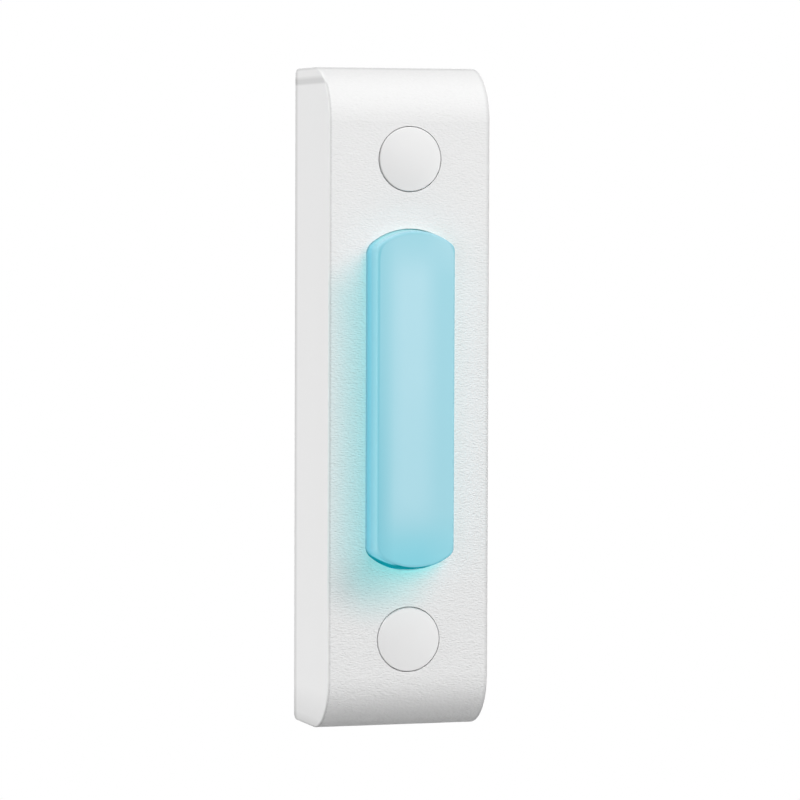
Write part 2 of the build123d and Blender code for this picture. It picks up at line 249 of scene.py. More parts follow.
print("casing half width", round(half_width / MM, 2), "mm, grains", round(GRAIN_WIDTH / MM, 2), "mm wide")

# %% Casing: its gloss and its white
gloss = add_node(tree, "ShaderNodeMapRange", {"Value": textured, "To Min": 0.42, "To Max": 0.62})
tree.links.new(gloss.outputs["Result"], shader.inputs["Roughness"])
# painted shade: the pebble's valleys are a little darker in the colour
tone = add_node(tree, "ShaderNodeMapRange", {"Value": pebble, "From Min": -0.3, "From Max": 0.3})
plastic = add_node(tree, "ShaderNodeMix", {
    "Factor": tone, "A": linear("#EEEEEE"), "B": linear("#F1F1F1")}, data_type="RGBA")
print("nodes in the casing's finish so far:", len(tree.nodes))

# %% [markdown]
# A white object on white is read by its edges. On the casing they are fine lines of painted shade in the
# colour: a soft one down the right edge, a thin ragged one down the left edge where the pebble stops, which
# is lost on the round at the top, and a grey rim of painted shade next to the wall and over the two ends.
# The round at the lower end looks away from the lamps and is given painted shade as well. Each is a share
# of shade, worked out from how near a point lies to that edge, and a share below zero takes the shade back
# at the very edge.

# %% Casing: shade along its edges
casing_end = highest.z
RAGGEDNESS = 0.12 * MM
LOST_FROM, LOST_TO, LOST_SHIFT = 42.0 * MM, 43.6 * MM, 0.5 * MM
endways = add_node(tree, "ShaderNodeMath", {0: z}, operation="ABSOLUTE")
ragged = add_node(tree, "ShaderNodeMath", {0: pebble, 1: RAGGEDNESS, 2: x}, operation="MULTIPLY_ADD")
lost_above = add_node(tree, "ShaderNodeMapRange", {
    "Value": z, "From Min": LOST_FROM, "From Max": LOST_TO, "To Max": LOST_SHIFT})
ragged = add_node(tree, "ShaderNodeMath", {0: ragged, 1: lost_above}, operation="ADD")
EDGES = (
    (x, half_width - 0.60 * MM, half_width - 0.06 * MM, 0.23),
    (x, half_width - 0.05 * MM, half_width - 0.01 * MM, -0.23),
    (ragged, 0.42 * MM - half_width, 0.26 * MM - half_width, 0.22),
    (ragged, 0.12 * MM - half_width, 0.02 * MM - half_width, -0.22),
    (y, -1.8 * MM, 0.0, 0.32),
    (endways, casing_end - 0.42 * MM, casing_end - 0.15 * MM, 0.17),
    (z, 5.2 * MM - casing_end, 1.6 * MM - casing_end, 0.12),
    (z, 1.4 * MM - casing_end, 0.5 * MM - casing_end, 0.12),
)
# painted shade along the casing's edges, next to the wall and over the two ends
shade = 0.0
for measure, starts, ends, share in EDGES:
    part = add_node(tree, "ShaderNodeMapRange", {
        "Value": measure, "From Min": starts, "From Max": ends, "To Max": share})
    shade = add_node(tree, "ShaderNodeMath", {0: part, 1: shade}, operation="ADD")
plastic = add_node(tree, "ShaderNodeMix", {"Factor": shade, "A": plastic, "B": BLACK}, data_type="RGBA")
print("shares of shade along the edges:", len(EDGES))

# %% [markdown]
# The lit bar throws its cyan glow and its shadow on the casing, and both are painted into the casing's
# colour. This painted glow and shadow is faint where the big lamp washes it out and strong where the bar
# stands between the lamp and the casing, at its left and below it. The renderer's lamps can't do this
# alone, because most of the glow comes through the plastic round the slot. So the casing's colour is tinted
# there, by how far a point lies inside the bar's outline after that outline is moved to the left and down.
# The outline is two straight sides and an arch at each end, and its corners are rounded by a soft minimum.

# %% How far a point lies inside the bar's outline
ARCH_CENTRE, CORNER = 14.35 * MM, 1.8 * MM
BAR_HALF_WIDTH, BAR_ARCH = 5.93 * MM, 8.40 * MM


def inset_in_bar(tree, x, z, half_width, arch):
    sideways = add_node(tree, "ShaderNodeMath", {0: x}, operation="ABSOLUTE")
    endways = add_node(tree, "ShaderNodeMath", {0: z}, operation="ABSOLUTE")
    past = add_node(tree, "ShaderNodeMath", {0: endways, 1: ARCH_CENTRE}, operation="SUBTRACT")
    past = add_node(tree, "ShaderNodeMath", {0: past, 1: 0.0}, operation="MAXIMUM")
    spoke = add_node(tree, "ShaderNodeCombineXYZ", {"X": sideways, "Y": past})
    spoke = add_node(tree, "ShaderNodeVectorMath", {0: spoke}, operation="LENGTH")
    to_end = add_node(tree, "ShaderNodeMath", {0: arch, 1: spoke}, operation="SUBTRACT")
    to_side = add_node(tree, "ShaderNodeMath", {0: half_width, 1: sideways}, operation="SUBTRACT")
    inset = add_node(tree, "ShaderNodeMath", {0: to_end, 1: to_side, 2: CORNER}, operation="SMOOTH_MIN")
    return inset, to_end, to_side


print("bar's foot", round(2 * (ARCH_CENTRE + BAR_ARCH) / MM, 2), "mm long")

# %% [markdown]
# Like any shadow the painted glow and shadow is sharp next to the bar and soft further off, so the outline
# is moved in four steps, each softer than the last, and the strongest counts.

# %% Painted glow and shadow: where it lies
GLOW_LEFT, GLOW_DOWN = 4.91 * MM, 5.14 * MM
GLOW_OUT, GLOW_IN, GLOW_NEAR = 3.16 * MM, 5.88 * MM, 0.30 * MM
GLOW_STEPS = (0.25, 0.50, 0.75, 1.00)
casing_front = lowest.y
FRONT_ENDS, FRONT_STARTS = 0.4 * MM, 0.1 * MM

glow = 0.0
for step in GLOW_STEPS:
    leftward = add_node(tree, "ShaderNodeMath", {0: x, 1: step * GLOW_LEFT}, operation="ADD")
    downward = add_node(tree, "ShaderNodeMath", {0: z, 1: step * GLOW_DOWN}, operation="ADD")
    part = add_node(tree, "ShaderNodeMapRange", {
        "Value": inset_in_bar(tree, leftward, downward, BAR_HALF_WIDTH, BAR_ARCH)[0],
        "From Min": -step * GLOW_OUT - GLOW_NEAR, "From Max": step * GLOW_IN - GLOW_NEAR},
        interpolation_type="SMOOTHSTEP")
    glow = add_node(tree, "ShaderNodeMath", {0: part, 1: glow}, operation="MAXIMUM")
front = add_node(tree, "ShaderNodeMapRange", {
    "Value": y, "From Min": casing_front + FRONT_ENDS, "From Max": casing_front + FRONT_STARTS})
glow = add_node(tree, "ShaderNodeMath", {0: glow, 1: front}, operation="MULTIPLY")
print("stain in", len(GLOW_STEPS), "steps, on the front at", round(casing_front / MM, 2), "mm")

# %% [markdown]
# At the lower left the painted shadow turns grey. Below the bar the painted glow of its lower end makes up
# for what the painted shadow takes of green and blue.

# %% Painted glow and shadow: its colours
GREY_BELOW, GREYEST_BELOW = -20.0 * MM, -26.0 * MM
GREY_LEFT, GREYEST_LEFT = -6.5 * MM, -9.5 * MM
BELOW_BAR_FROM, BELOW_BAR_TO = -6.0 * MM, 0.0
lower_part = add_node(tree, "ShaderNodeMapRange", {
    "Value": z, "From Min": GREY_BELOW, "From Max": GREYEST_BELOW})
outer_part = add_node(tree, "ShaderNodeMapRange", {
    "Value": x, "From Min": GREY_LEFT, "From Max": GREYEST_LEFT})
lower_left = add_node(tree, "ShaderNodeMath", {0: lower_part, 1: outer_part}, operation="MULTIPLY")
below_bar = add_node(tree, "ShaderNodeMapRange", {
    "Value": x, "From Min": BELOW_BAR_FROM, "From Max": BELOW_BAR_TO})
painted_glow_shadow = add_node(tree, "ShaderNodeMix", {
    "Factor": lower_left, "A": linear("#BAEBED"), "B": linear("#BCD7DA")}, data_type="RGBA")
painted_glow_shadow = add_node(tree, "ShaderNodeMix", {
    "Factor": below_bar, "A": painted_glow_shadow, "B": linear("#CBFFFF")}, data_type="RGBA")
# painted glow and shadow of the lit bar, multiplied into the casing's colour
glow_shadow_tinted = add_node(tree, "ShaderNodeMix", {
    "Factor": glow, "A": plastic, "B": painted_glow_shadow}, data_type="RGBA", blend_type="MULTIPLY")
print("nodes in the casing's finish so far:", len(tree.nodes))

# %% [markdown]
# Close round the slot the bar's walls throw more blue on the casing than clear acrylic would. A faint warm
# band of painted colour takes that light back, with a little painted shade that makes it greyer at the
# right, and it reaches down to the bar's lower end.

# %% Painted tint round the slot
SLOT_TINT_FROM, SLOT_TINT_FULL = -3.0 * MM, -0.3 * MM
SLOT_TINT_ENDS, SLOT_TINT_WHOLE = -23.0 * MM, -19.0 * MM
SLOT_TINT_TURNS, SLOT_TINT_GREY = 2.0 * MM, 6.0 * MM
by_slot = add_node(tree, "ShaderNodeMapRange", {
    "Value": inset_in_bar(tree, x, z, BAR_HALF_WIDTH, BAR_ARCH)[0],
    "From Min": SLOT_TINT_FROM, "From Max": SLOT_TINT_FULL}, interpolation_type="SMOOTHSTEP")
above_end = add_node(tree, "ShaderNodeMapRange", {"Value": z, "From Min": SLOT_TINT_ENDS, "From Max": SLOT_TINT_WHOLE})
for share in (above_end, front):
    by_slot = add_node(tree, "ShaderNodeMath", {0: by_slot, 1: share}, operation="MULTIPLY")
rightward = add_node(tree, "ShaderNodeMapRange", {"Value": x, "From Min": SLOT_TINT_TURNS, "From Max": SLOT_TINT_GREY})
# painted colour: a warm band that takes back the bar's blue light next to the slot, greyer at the right as
# painted shade
painted_slot_tint = add_node(tree, "ShaderNodeMix", {
    "Factor": rightward, "A": linear("#FFF9F8"), "B": linear("#F8F7F5")}, data_type="RGBA")
glow_shadow_tinted = add_node(tree, "ShaderNodeMix", {
    "Factor": by_slot, "A": glow_shadow_tinted, "B": painted_slot_tint}, data_type="RGBA", blend_type="MULTIPLY")
tree.links.new(glow_shadow_tinted.outputs["Result"], shader.inputs["Base Color"])


def give_finish(material, *names):
    for name in names:
        mesh = nodes[name].data
        mesh.materials.clear()
        mesh.materials.append(material)
        print(name, "<-", material.name)


give_finish(casing, "front_cover")

# %% [markdown]
# The caps over the wall screws are the same ABS from a polished tool: smooth, a little glossier, with only
# the faint unevenness that any moulded dome has as it shrinks. A dome this shallow still turns its left
# side away from the light, and part of its rim lies in shade: at the lower left on the upper cap, and at
# the top on the lower cap, next to the bar's painted glow and shadow. The soft lamps here even that out, so
# both are painted into the colour as shares of painted shade: at the right, at the left, and on the rim at
# an angle that is counted from the right, in a shade colour of its own, black on the upper cap and a dark
# teal on the lower one.

# %% Cap finishes
CAPS = (
    ("screw_cap_upper", "abs_white_polished_upper", 0.020, 0.163, 198, 0.31, "#000000"),
    ("screw_cap_lower", "abs_white_polished_lower", 0.000, 0.105, 95, 0.42, "#004C50"),
)
SINK_MARK, SINK_DEPTH = 4 * MM, 0.05 * MM
RIM_FROM, RIM_FULL = 0.19 * MM, 0.09 * MM
ARC_FROM, ARC_FULL = 0.64, 0.91
for node, name, right_shade, left_shade, rim_angle, rim_shade, rim_colour in CAPS:
    low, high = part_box(node)
    cap_middle, cap_radius = (low + high) / 2, (high.x - low.x) / 2
    cap_plastic, tree, shader, place = new_finish(name, IOR=1.53, Specular_IOR_Level=0.3)
    sink = add_node(tree, "ShaderNodeTexNoise", {"Vector": place, "Scale": 1 / SINK_MARK, "Detail": 2.0})
    tone = add_node(tree, "ShaderNodeMix", {
        "Factor": sink.outputs["Fac"], "A": linear("#F3F3F3"), "B": linear("#F6F6F6")}, data_type="RGBA")
    from_middle = add_node(tree, "ShaderNodeVectorMath", {0: place, 1: cap_middle}, operation="SUBTRACT")
    spot = add_node(tree, "ShaderNodeSeparateXYZ", {"Vector": from_middle})
    # painted shade: the dome is darker towards its left
    turned_away = add_node(tree, "ShaderNodeMapRange", {
        "Value": spot.outputs["X"], "From Min": cap_radius, "From Max": -cap_radius,
        "To Min": right_shade, "To Max": left_shade})
    tone = add_node(tree, "ShaderNodeMix", {"Factor": turned_away, "A": tone, "B": BLACK}, data_type="RGBA")
    spoke = add_node(tree, "ShaderNodeVectorMath", {0: from_middle, 1: (1, 0, 1)}, operation="MULTIPLY")
    spoke = add_node(tree, "ShaderNodeVectorMath", {0: spoke}, operation="LENGTH")
    # painted shade on the part of the rim that lies away from the light
    on_rim = add_node(tree, "ShaderNodeMapRange", {
        "Value": spoke, "From Min": cap_radius - RIM_FROM, "From Max": cap_radius - RIM_FULL})
    rim_way = (math.cos(math.radians(rim_angle)), 0, math.sin(math.radians(rim_angle)))
    rim_side = add_node(tree, "ShaderNodeVectorMath", {0: from_middle, 1: rim_way}, operation="DOT_PRODUCT")
    in_shade = add_node(tree, "ShaderNodeMapRange", {
        "Value": rim_side, "From Min": ARC_FROM * cap_radius,
        "From Max": ARC_FULL * cap_radius, "To Max": rim_shade})
    rim = add_node(tree, "ShaderNodeMath", {0: on_rim, 1: in_shade}, operation="MULTIPLY")
    tone = add_node(tree, "ShaderNodeMix", {
        "Factor": rim, "A": tone, "B": linear(rim_colour)}, data_type="RGBA")
    tree.links.new(tone.outputs["Result"], shader.inputs["Base Color"])
    gloss = add_node(tree, "ShaderNodeMapRange", {
        "Value": sink.outputs["Fac"], "To Min": 0.30, "To Max": 0.40})
    tree.links.new(gloss.outputs["Result"], shader.inputs["Roughness"])
    bump = add_node(tree, "ShaderNodeBump", {
        "Height": sink.outputs["Fac"], "Strength": 0.1, "Distance": SINK_DEPTH})
    tree.links.new(bump.outputs["Normal"], shader.inputs["Normal"])
    give_finish(cap_plastic, node)

# %% [markdown]
# The bar is translucent acrylic in a light cyan, lit from behind by two lamps. It scatters their light, so
# the face glows softly, and its walls are a deeper blue where the eye looks through more plastic. Real
# scattering inside it would need many samples, so each part of the bar gets its own colour instead, and
# sends out a fifth of it as light. First comes where a point lies: on the face, on a wall, or on one of the
# two arched ends.

# %% Light bar: its face, its ends and its walls
FACE_HALF_WIDTH, FACE_ARCH = 5.43 * MM, 8.16 * MM
FACE_RISE, CROWN_EDGE = 0.1 * MM, 0.25 * MM
END_FROM, END_FULL = -0.5 * MM, 1.5 * MM
WALL_FOOT, WALL_MIDDLE, WALL_TOP = 2.4 * MM, 1.4 * MM, 0.4 * MM
face_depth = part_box("push_button")[0].y

lit_bar, tree, shader, place = new_finish(
    "acrylic_cyan_lit", IOR=1.49, Specular_IOR_Level=0.08, Emission_Strength=0.2)
spot = add_node(tree, "ShaderNodeSeparateXYZ", {"Vector": place})
x, y, z = (spot.outputs[axis] for axis in "XYZ")
risen = add_node(tree, "ShaderNodeMath", {0: z, 1: FACE_RISE}, operation="SUBTRACT")
inset, to_end, to_side = inset_in_bar(tree, x, risen, FACE_HALF_WIDTH, FACE_ARCH)
on_face = add_node(tree, "ShaderNodeMapRange", {"Value": inset, "From Min": 0.0, "From Max": CROWN_EDGE})
on_end = add_node(tree, "ShaderNodeMath", {0: to_side, 1: to_end}, operation="SUBTRACT")
on_end_wall = add_node(tree, "ShaderNodeMapRange", {
    "Value": on_end, "From Min": END_FROM, "From Max": END_FULL})
upper_half = add_node(tree, "ShaderNodeMath", {0: z, 1: 0.0}, operation="GREATER_THAN")
upper_end = add_node(tree, "ShaderNodeMath", {0: on_end_wall, 1: upper_half}, operation="MULTIPLY")
lower_end = add_node(tree, "ShaderNodeMath", {0: on_end_wall, 1: upper_end}, operation="SUBTRACT")
up_wall, lower_wall, upper_wall = (
    add_node(tree, "ShaderNodeMapRange", {
        "Value": y, "From Min": face_depth + starts, "From Max": face_depth + ends})
    for starts, ends in ((WALL_FOOT, WALL_TOP), (WALL_FOOT, WALL_MIDDLE), (WALL_MIDDLE, WALL_TOP)))
print("bar face at", round(face_depth / MM, 2), "mm")

# %% [markdown]
# Painted shade: the face is deeper in colour along its left, away from the lamps, most of all in its lower
# half, and in a thin line just inside its edge. That line is lost towards the right, and fainter at the
# upper end.

# %% Light bar: painted shade at the left of its face
DEEPEST_LEFT, LEFT_ENDS = 0.3 * MM, 2.5 * MM
LEFT_DEEP_BELOW, LEFT_FAINT_ABOVE = -12.0 * MM, 10.0 * MM
LINE_FULL, LINE_ENDS = 0.30 * MM, 0.60 * MM
LINE_FADES, LINE_LOST = 0.0, 3.0 * MM
left_part = add_node(tree, "ShaderNodeMapRange", {
    "Value": x, "From Min": DEEPEST_LEFT - FACE_HALF_WIDTH,
    "From Max": LEFT_ENDS - FACE_HALF_WIDTH, "To Min": 0.85, "To Max": 0.0})
left_fade = add_node(tree, "ShaderNodeMapRange", {
    "Value": z, "From Min": LEFT_DEEP_BELOW, "From Max": LEFT_FAINT_ABOVE, "To Min": 0.95, "To Max": 0.45})
left_part = add_node(tree, "ShaderNodeMath", {0: left_part, 1: left_fade}, operation="MULTIPLY")
rim_line = add_node(tree, "ShaderNodeMapRange", {
    "Value": inset, "From Min": LINE_FULL, "From Max": LINE_ENDS, "To Min": 1.0, "To Max": 0.0})
lee_side = add_node(tree, "ShaderNodeMapRange", {
    "Value": x, "From Min": LINE_FADES, "From Max": LINE_LOST, "To Min": 1.0, "To Max": 0.0})
end_fade = add_node(tree, "ShaderNodeMapRange", {"Value": upper_end, "To Min": 1.0, "To Max": 0.3})
for share in (lee_side, end_fade):
    rim_line = add_node(tree, "ShaderNodeMath", {0: rim_line, 1: share}, operation="MULTIPLY")
# painted shade at the left of the face and along its edge
rim = add_node(tree, "ShaderNodeMath", {0: left_part, 1: rim_line}, operation="MAXIMUM")
print("deeper for", round((LEFT_ENDS - DEEPEST_LEFT) / MM, 2), "mm of the face")

# %% [markdown]
# The big lamp doesn't reach under the lower end of the bar. A deep blue crescent of painted shade lies
# there, between the casing and the crown. It starts further round the end where a point lies higher above
# the casing, and it thins out to the right. At the left foot of the bar the opposite happens: light leaks
# out of the slot, painted as a paler glow in the bar's emission.

# %% Light bar: its underside and its foot
UNDER_SLANT, UNDER_TURN = -0.8, -0.12
UNDER_FROM, UNDER_FULL = 0.15 * MM, 0.9 * MM
UNDER_THINS, UNDER_LOST = 1.0 * MM, 3.5 * MM
CROWN_FROM = 0.15 * MM
LEAK_FULL, LEAK_ENDS = -0.2 * MM, 0.4 * MM
LEAK_FADES, LEAK_LOST = -2.0 * MM, 1.0 * MM
# painted shade under the lower end, and painted light leaking at the left foot
height = add_node(tree, "ShaderNodeMath", {0: casing_front, 1: y}, operation="SUBTRACT")
under = add_node(tree, "ShaderNodeMath", {0: height, 1: UNDER_SLANT, 2: on_end}, operation="MULTIPLY_ADD")
under = add_node(tree, "ShaderNodeMath", {0: x, 1: UNDER_TURN, 2: under}, operation="MULTIPLY_ADD")
under = add_node(tree, "ShaderNodeMapRange", {
    "Value": under, "From Min": UNDER_FROM, "From Max": UNDER_FULL})
lower_left = add_node(tree, "ShaderNodeMapRange", {
    "Value": x, "From Min": UNDER_THINS, "From Max": UNDER_LOST, "To Min": 1.0, "To Max": 0.0})
lower_left = add_node(tree, "ShaderNodeMath", {
    0: lower_left, 1: upper_half}, operation="SUBTRACT", use_clamp=True)
under = add_node(tree, "ShaderNodeMath", {0: under, 1: lower_left}, operation="MULTIPLY")
below_crown = add_node(tree, "ShaderNodeMapRange", {
    "Value": inset, "From Min": CROWN_FROM, "From Max": CROWN_EDGE, "To Min": 1.0, "To Max": 0.0})
underside = add_node(tree, "ShaderNodeMath", {0: under, 1: below_crown}, operation="MULTIPLY")
foot = add_node(tree, "ShaderNodeMapRange", {
    "Value": height, "From Min": LEAK_FULL, "From Max": LEAK_ENDS, "To Min": 1.0, "To Max": 0.0})
foot_left = add_node(tree, "ShaderNodeMapRange", {
    "Value": x, "From Min": LEAK_FADES, "From Max": LEAK_LOST, "To Min": 1.0, "To Max": 0.0})
foot_left = add_node(tree, "ShaderNodeMath", {
    0: foot_left, 1: underside}, operation="SUBTRACT", use_clamp=True)
foot = add_node(tree, "ShaderNodeMath", {0: foot, 1: foot_left}, operation="MULTIPLY")
print("light leaks up to", round(LEAK_ENDS / MM, 2), "mm above the casing")

# %% [markdown]
# The lamps stand behind the bar's middle line, so a whiter core of painted light shows in the face, a
# little to the left and strongest in the upper half. Slow clouds in the plastic make it uneven. The two
# right corners of the face are paler as well, a painted highlight, the upper one more.

# %% Light bar: its core and its corners
CORE_X, CORE_Z = -0.5 * MM, 1.5 * MM
CORE_WIDE, CORE_SIDE = 0.8 * MM, 4.3 * MM
CORE_LONG, CORE_END = 14.0 * MM, 20.5 * MM
CORE_FAINT_BELOW, CORE_FULL_ABOVE = -14.0 * MM, 10.0 * MM
CLOUD = 6 * MM
CORNER_LEFT, CORNER_RIGHT = 1.0 * MM, 5.0 * MM
CORNER_STARTS, CORNER_FULL = 16.0 * MM, 20.5 * MM
CORNER_LOWER, CORNER_UPPER = -18.0 * MM, 18.0 * MM
cloud = add_node(tree, "ShaderNodeTexNoise", {"Vector": place, "Scale": 1 / CLOUD, "Detail": 2.0})
core = add_node(tree, "ShaderNodeMapRange", {"Value": cloud.outputs["Fac"], "To Min": 0.8, "To Max": 1.2})
for measure, centre, starts, ends in (
        (x, CORE_X, CORE_WIDE, CORE_SIDE), (z, CORE_Z, CORE_LONG, CORE_END)):
    off_centre = add_node(tree, "ShaderNodeMath", {0: measure, 1: centre}, operation="SUBTRACT")
    off_centre = add_node(tree, "ShaderNodeMath", {0: off_centre}, operation="ABSOLUTE")
    part = add_node(tree, "ShaderNodeMapRange", {
        "Value": off_centre, "From Min": starts, "From Max": ends, "To Min": 1.0, "To Max": 0.0},
        interpolation_type="SMOOTHSTEP")
    core = add_node(tree, "ShaderNodeMath", {0: core, 1: part}, operation="MULTIPLY")
core_fade = add_node(tree, "ShaderNodeMapRange", {
    "Value": z, "From Min": CORE_FAINT_BELOW, "From Max": CORE_FULL_ABOVE, "To Min": 0.62, "To Max": 1.0})
core = add_node(tree, "ShaderNodeMath", {0: core, 1: core_fade}, operation="MULTIPLY")
# painted highlight on the two right corners of the face
corner = add_node(tree, "ShaderNodeMapRange", {
    "Value": x, "From Min": CORNER_LEFT, "From Max": CORNER_RIGHT})
end_part = add_node(tree, "ShaderNodeMath", {0: z}, operation="ABSOLUTE")
end_part = add_node(tree, "ShaderNodeMapRange", {
    "Value": end_part, "From Min": CORNER_STARTS, "From Max": CORNER_FULL})
corner_fade = add_node(tree, "ShaderNodeMapRange", {
    "Value": z, "From Min": CORNER_LOWER, "From Max": CORNER_UPPER, "To Min": 0.22, "To Max": 0.60})
for share in (end_part, corner_fade):
    corner = add_node(tree, "ShaderNodeMath", {0: corner, 1: share}, operation="MULTIPLY")
print("core", round(2 * CORE_SIDE / MM, 1), "mm wide")

# %% [markdown]
# The walls are three tones from the casing up to the crown, with tones of their own at the two ends. These
# tones are painted light and shade: deeper near the casing and paler at the upper end, which faces the
# light from above. The face is deeper in colour towards its lower end, as painted shade.

# %% Light bar: its colours
FACE_DEEP_BELOW, FACE_PALE_ABOVE = -22.5 * MM, -14.0 * MM
PALE = linear("#ABD4DF")
# painted light and shade in the wall tones
wall = add_node(tree, "ShaderNodeMix", {
    "Factor": lower_wall, "A": linear("#7BC9DD"), "B": linear("#81BFCE")}, data_type="RGBA")
wall = add_node(tree, "ShaderNodeMix", {
    "Factor": upper_wall, "A": wall, "B": linear("#8AC4D1")}, data_type="RGBA")
top_wall = add_node(tree, "ShaderNodeMix", {
    "Factor": up_wall, "A": linear("#93D0D6"), "B": linear("#98C4D1")}, data_type="RGBA")
wall = add_node(tree, "ShaderNodeMix", {"Factor": upper_end, "A": wall, "B": top_wall}, data_type="RGBA")
wall = add_node(tree, "ShaderNodeMix", {
    "Factor": lower_end, "A": wall, "B": linear("#76CFE1")}, data_type="RGBA")
# painted shade: the face darkens towards its lower end
upward = add_node(tree, "ShaderNodeMapRange", {
    "Value": z, "From Min": FACE_DEEP_BELOW, "From Max": FACE_PALE_ABOVE}, interpolation_type="SMOOTHSTEP")
face = add_node(tree, "ShaderNodeMix", {
    "Factor": upward, "A": linear("#82C9D7"), "B": linear("#9BCDD9")}, data_type="RGBA")
for share, colour in ((core, PALE), (corner, PALE), (rim, linear("#7ABFCE"))):
    face = add_node(tree, "ShaderNodeMix", {"Factor": share, "A": face, "B": colour}, data_type="RGBA")
acrylic = add_node(tree, "ShaderNodeMix", {"Factor": on_face, "A": wall, "B": face}, data_type="RGBA")
acrylic = add_node(tree, "ShaderNodeMix", {
    "Factor": underside, "A": acrylic, "B": linear("#0098A6")}, data_type="RGBA")
tree.links.new(acrylic.outputs["Result"], shader.inputs["Base Color"])
leak = add_node(tree, "ShaderNodeMix", {
    "Factor": foot, "A": acrylic, "B": linear("#D2FAFF")}, data_type="RGBA")
tree.links.new(leak.outputs["Result"], shader.inputs["Emission Color"])
print("nodes in the bar's finish so far:", len(tree.nodes))

# %% [markdown]
# The bar is moulded in a polished tool, but its underside shows no gloss. The lamps' light goes on through
# the bar with a trace of its colour, so rays from the lamps are tinted and let through instead of stopped.

# %% Light bar: its gloss, and the light that goes through
gloss = add_node(tree, "ShaderNodeMapRange", {
    "Value": cloud.outputs["Fac"], "To Min": 0.28, "To Max": 0.36})
gloss = add_node(tree, "ShaderNodeMath", {0: gloss, 1: underside}, operation="MAXIMUM")
tree.links.new(gloss.outputs[0], shader.inputs["Roughness"])
through = add_node(tree, "ShaderNodeBsdfTransparent", {"Color": linear("#EAFFFF")})
ray = add_node(tree, "ShaderNodeLightPath")
tinted = add_node(tree, "ShaderNodeMixShader", {0: ray.outputs["Is Shadow Ray"], 1: shader, 2: through})
tree.links.new(tinted.outputs[0], tree.nodes["Material Output"].inputs["Surface"])
give_finish(lit_bar, "push_button")

# %% [markdown]
# The base that goes on the wall is never seen once it is mounted, so its mould is only sand-blasted: a
# duller white with a fine even grain and the slow waves in tone that hot plastic leaves as it flows in.

# %% Base finish
FLOW_WAVE, BLAST_GRAIN, BLAST_DEPTH = 12 * MM, 0.3 * MM, 0.05 * MM
base_plastic, tree, shader, place = new_finish("abs_white_sandblasted", IOR=1.53, Specular_IOR_Level=0.3)
flow = add_node(tree, "ShaderNodeTexNoise", {
    "Vector": place, "Scale": 1 / FLOW_WAVE, "Detail": 3.0, "Distortion": 1.0})
tone = add_node(tree, "ShaderNodeMix", {
    "Factor": flow.outputs["Fac"], "A": linear("#DDDDDA"), "B": linear("#E6E6E3")}, data_type="RGBA")
tree.links.new(tone.outputs["Result"], shader.inputs["Base Color"])
blast = add_node(tree, "ShaderNodeTexNoise", {"Vector": place, "Scale": 1 / BLAST_GRAIN, "Detail": 3.0})
bump = add_node(tree, "ShaderNodeBump", {
    "Height": blast.outputs["Fac"], "Strength": 0.3, "Distance": BLAST_DEPTH})
tree.links.new(bump.outputs["Normal"], shader.inputs["Normal"])
gloss = add_node(tree, "ShaderNodeMapRange", {
    "Value": blast.outputs["Fac"], "To Min": 0.50, "To Max": 0.62})
tree.links.new(gloss.outputs["Result"], shader.inputs["Roughness"])
give_finish(base_plastic, "back_plate")

# %% [markdown]
# The lamp board is glass-fibre laminate under green lacquer. The cloth in it shows as a faint weave, and
# the copper tracks under the lacquer are a lighter green and stand a little proud: two along the board, one
# beside each row of parts. Where the laminate is cut, at the edges and in the holes, there is no lacquer
# and it is a pale straw green. A wave texture at scale 1 repeats every pi / 10, which gives the scale for
# one thread.

# %% Board finish
TRACK_PLACE, TRACK_HALF, TRACK_PROUD = 4.0 * MM, 0.6 * MM, 0.035 * MM
THREAD, WEAVE_SHARE = 0.5 * MM, 0.15
LACQUER_FROM, LACQUER_FULL = 0.70 * MM, 0.76 * MM
board_low, board_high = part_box("circuit_board")
board_middle = (board_low.y + board_high.y) / 2

board, tree, shader, place = new_finish("glass_fibre_board_green_lacquer", IOR=1.52)
spot = add_node(tree, "ShaderNodeSeparateXYZ", {"Vector": place})
sideways = add_node(tree, "ShaderNodeMath", {0: spot.outputs["X"]}, operation="ABSOLUTE")
track = add_node(tree, "ShaderNodeMath", {0: sideways, 1: TRACK_PLACE, 2: TRACK_HALF}, operation="COMPARE")
warp, weft = (
    add_node(tree, "ShaderNodeTexWave", {
        "Vector": place, "Scale": math.pi / (10 * THREAD)}, bands_direction=axis)
    for axis in ("X", "Z"))
weave = add_node(tree, "ShaderNodeMath", {
    0: warp.outputs["Fac"], 1: weft.outputs["Fac"]}, operation="MULTIPLY")
lacquer = add_node(tree, "ShaderNodeMix", {
    "Factor": weave, "A": linear("#1F5A38"), "B": linear("#25653F")}, data_type="RGBA")
lacquer = add_node(tree, "ShaderNodeMix", {
    "Factor": track, "A": lacquer, "B": linear("#3B8A57")}, data_type="RGBA")
off_middle = add_node(tree, "ShaderNodeMath", {0: spot.outputs["Y"], 1: board_middle}, operation="SUBTRACT")
off_middle = add_node(tree, "ShaderNodeMath", {0: off_middle}, operation="ABSOLUTE")
on_lacquer = add_node(tree, "ShaderNodeMapRange", {
    "Value": off_middle, "From Min": LACQUER_FROM, "From Max": LACQUER_FULL})
laminate = add_node(tree, "ShaderNodeMix", {
    "Factor": on_lacquer, "A": linear("#B9B98A"), "B": lacquer}, data_type="RGBA")
tree.links.new(laminate.outputs["Result"], shader.inputs["Base Color"])
gloss = add_node(tree, "ShaderNodeMapRange", {"Value": on_lacquer, "To Min": 0.75, "To Max": 0.32})
tree.links.new(gloss.outputs["Result"], shader.inputs["Roughness"])
relief = add_node(tree, "ShaderNodeMath", {0: weave, 1: WEAVE_SHARE, 2: track}, operation="MULTIPLY_ADD")
bump = add_node(tree, "ShaderNodeBump", {"Height": relief, "Strength": 0.4, "Distance": TRACK_PROUD})
tree.links.new(bump.outputs["Normal"], shader.inputs["Normal"])
